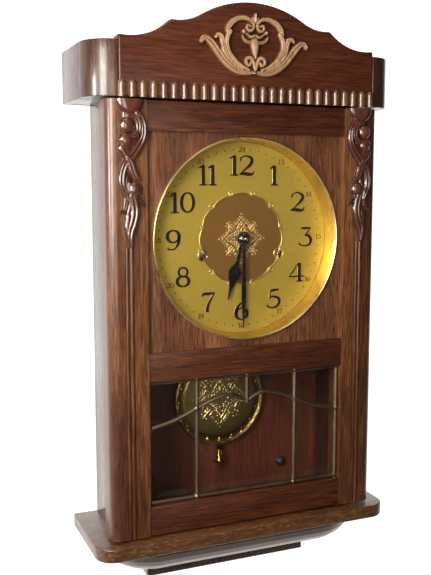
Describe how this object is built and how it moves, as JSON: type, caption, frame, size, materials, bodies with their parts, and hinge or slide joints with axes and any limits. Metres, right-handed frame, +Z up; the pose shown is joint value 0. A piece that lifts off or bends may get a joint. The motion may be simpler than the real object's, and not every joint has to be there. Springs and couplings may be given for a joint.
{
  "type": "pendulum wall clock",
  "caption": "Spring-driven wall clock in a walnut case with a carved crown, brass dial, leaded glass door and swinging pendulum.",
  "frame": {"origin": "centre of the hanger hole, on the plane of the wall", "axes": "+X right as seen from the front, +Y into the wall, +Z up"},
  "size_m": [0.3492, 0.113, 0.6236],
  "materials": {
    "walnut": "glossy french-polished dark walnut",
    "walnut_figured": "satin walnut, horizontal grain",
    "walnut_worn": "walnut with a worn, lighter front edge",
    "stile_wood": "satin stained oak, vertical grain",
    "rail_wood": "satin reddish walnut, horizontal grain",
    "mask_wood": "satin oak, open vertical pores",
    "panel_wood": "plain stained softwood",
    "carved_wood": "glossy red-brown carved wood",
    "gilt_carving": "worn gilt over carved wood",
    "brass_polished": "polished brass",
    "brass_aged": "aged brass",
    "dial_brass": "satin embossed brass",
    "came_metal": "dull lead and brass came",
    "glass": "bevelled clear glass",
    "steel": "bright steel",
    "iron_black": "blackened iron",
    "black_hand": "gloss black"
  },
  "bodies": {
    "case": {"apron": "walnut", "backboard": "panel_wood", "base_board": "walnut_worn", "bottom_strip": "walnut", "case_sides": "walnut", "catch_sleeve": "brass_aged", "crown_back": "panel_wood", "crown_carving": "gilt_carving", "crown_corners": "walnut", "crown_decks": "walnut", "crown_sides": "walnut", "dial_plate": "dial_brass", "gong_block": "iron_black", "gong_rods": "steel", "hanger_plate": "steel", "hinge_case_leaves": "brass_aged", "hinge_pins": "brass_aged", "movement_brackets": "iron_black", "movement_front_plate": "brass_aged", "movement_rear_plate": "brass_aged", "pediment": "walnut_figured", "reeded_moulding": "walnut_figured", "steady_screws": "iron_black", "suspension_cock": "brass_aged", "winding_clicks": "steel", "wood_screws": "steel"},
    "door": {"door_stiles": "stile_wood", "door_top_rail": "rail_wood", "door_mid_rail": "rail_wood", "door_foot_rail": "rail_wood", "dial_mask_panel": "mask_wood", "carved_drops": "carved_wood", "bezel": "brass_polished", "bezel_glass": "glass", "window_cames": "came_metal", "window_panes": "glass", "hinge_door_leaves": "brass_aged", "strike_plate": "brass_aged"},
    "minute_works": {"cannon_pinion": "brass_aged", "minute_hand": "black_hand", "hand_nut": "black_hand"},
    "centre_body": {"centre_arbor": "brass_aged"},
    "hour_works": {"hour_hand": "black_hand", "hour_wheel": "brass_aged"},
    "motion_wheel": {"minute_wheel": "brass_aged"},
    "going_barrel_body": {"going_barrel": "brass_aged"},
    "third_body": {"third_wheel": "brass_aged"},
    "escape_body": {"escape_wheel": "brass_aged"},
    "anchor_body": {"anchor_and_crutch": "steel"},
    "pendulum": {"pendulum_rod": "steel", "suspension_spring": "steel"},
    "bob": {"pendulum_bob": "brass_polished"},
    "nut": {"rating_nut": "brass_polished"},
    "going_winder": {"going_winding_arbor": "steel"},
    "strike_winder": {"strike_winding_arbor": "steel"},
    "strike_barrel_body": {"strike_barrel": "brass_aged"},
    "pin_wheel_body": {"pin_wheel": "brass_aged"},
    "fly_body": {"fly": "brass_aged"},
    "hammer": {"strike_hammer": "steel"},
    "catch": {"catch_ball": "steel"}
  },
  "joints": [
    {"name": "door_hinge", "type": "hinge", "parent": "case", "child": "door", "pos_m": [0.149, -0.0718, -0.165], "axis": [0, 0, 1], "range_deg": [0, 110]},
    {"name": "minute_hand_turn", "type": "hinge", "parent": "case", "child": "minute_works", "pos_m": [0, -0.061, -0.165], "axis": [0, 1, 0], "continuous": true},
    {"name": "hour_hand_turn", "type": "hinge", "parent": "case", "child": "hour_works", "pos_m": [0, -0.061, -0.165], "axis": [0, 1, 0], "continuous": true},
    {"name": "minute_wheel_turn", "type": "hinge", "parent": "case", "child": "motion_wheel", "pos_m": [0, -0.061, -0.1842], "axis": [0, 1, 0], "continuous": true},
    {"name": "escape_wheel_turn", "type": "hinge", "parent": "case", "child": "escape_body", "pos_m": [0, -0.061, -0.1283], "axis": [0, 1, 0], "continuous": true},
    {"name": "centre_wheel_turn", "type": "hinge", "parent": "case", "child": "centre_body", "pos_m": [0, -0.061, -0.165], "axis": [0, 1, 0], "continuous": true},
    {"name": "going_barrel_turn", "type": "hinge", "parent": "case", "child": "going_barrel_body", "pos_m": [0.045, -0.061, -0.1825], "axis": [0, 1, 0], "continuous": true},
    {"name": "third_wheel_turn", "type": "hinge", "parent": "case", "child": "third_body", "pos_m": [0.015, -0.061, -0.1411], "axis": [0, 1, 0], "continuous": true},
    {"name": "pendulum_swing", "type": "hinge", "parent": "case", "child": "pendulum", "pos_m": [0, -0.016, -0.1123], "axis": [0, 1, 0], "range_deg": [-4, 4]},
    {"name": "anchor_rock", "type": "hinge", "parent": "case", "child": "anchor_body", "pos_m": [0, -0.016, -0.1123], "axis": [0, 1, 0], "range_deg": [-4, 4]},
    {"name": "bob_slide", "type": "slide", "parent": "pendulum", "child": "bob", "axis": [0, 0, 1], "range_m": [-0.0028, 0.0028]},
    {"name": "rating_nut_turn", "type": "hinge", "parent": "bob", "child": "nut", "pos_m": [0, -0.016, -0.412], "axis": [0, 0, 1], "range_deg": [-1440, 1440]},
    {"name": "going_winding", "type": "hinge", "parent": "case", "child": "going_winder", "pos_m": [0.045, -0.061, -0.1825], "axis": [0, 1, 0], "continuous": true},
    {"name": "strike_winding", "type": "hinge", "parent": "case", "child": "strike_winder", "pos_m": [-0.045, -0.061, -0.1825], "axis": [0, 1, 0], "continuous": true},
    {"name": "fly_turn", "type": "hinge", "parent": "case", "child": "fly_body", "pos_m": [-0.044, -0.061, -0.1246], "axis": [0, 1, 0], "continuous": true},
    {"name": "strike_barrel_turn", "type": "hinge", "parent": "case", "child": "strike_barrel_body", "pos_m": [-0.045, -0.061, -0.1825], "axis": [0, 1, 0], "continuous": true},
    {"name": "pin_wheel_turn", "type": "hinge", "parent": "case", "child": "pin_wheel_body", "pos_m": [-0.03, -0.061, -0.137], "axis": [0, 1, 0], "continuous": true},
    {"name": "hammer_lift", "type": "hinge", "parent": "case", "child": "hammer", "pos_m": [-0.066, -0.061, -0.132], "axis": [0, 1, 0], "range_deg": [0, 14], "stiffness_Nm_per_rad": 0.05, "springref_deg": -5.73},
    {"name": "catch_ball_press", "type": "slide", "parent": "case", "child": "catch", "axis": [0, 1, 0], "range_m": [0, 0.0012], "stiffness_N_per_m": 800}
  ],
  "couplings": [
    {"joint": "hour_hand_turn", "follows": "minute_hand_turn", "ratio": 0.083333},
    {"joint": "minute_wheel_turn", "follows": "minute_hand_turn", "ratio": -0.33333},
    {"joint": "centre_wheel_turn", "follows": "escape_wheel_turn", "ratio": 0.0081019},
    {"joint": "third_wheel_turn", "follows": "escape_wheel_turn", "ratio": -0.097222},
    {"joint": "going_barrel_turn", "follows": "escape_wheel_turn", "ratio": -0.0010127},
    {"joint": "anchor_rock", "follows": "pendulum_swing", "ratio": 1},
    {"joint": "rating_nut_turn", "follows": "bob_slide", "rad_per_m": 8976},
    {"joint": "pin_wheel_turn", "follows": "strike_barrel_turn", "ratio": -8.5714},
    {"joint": "fly_turn", "follows": "strike_barrel_turn", "ratio": 85.714}
  ]
}
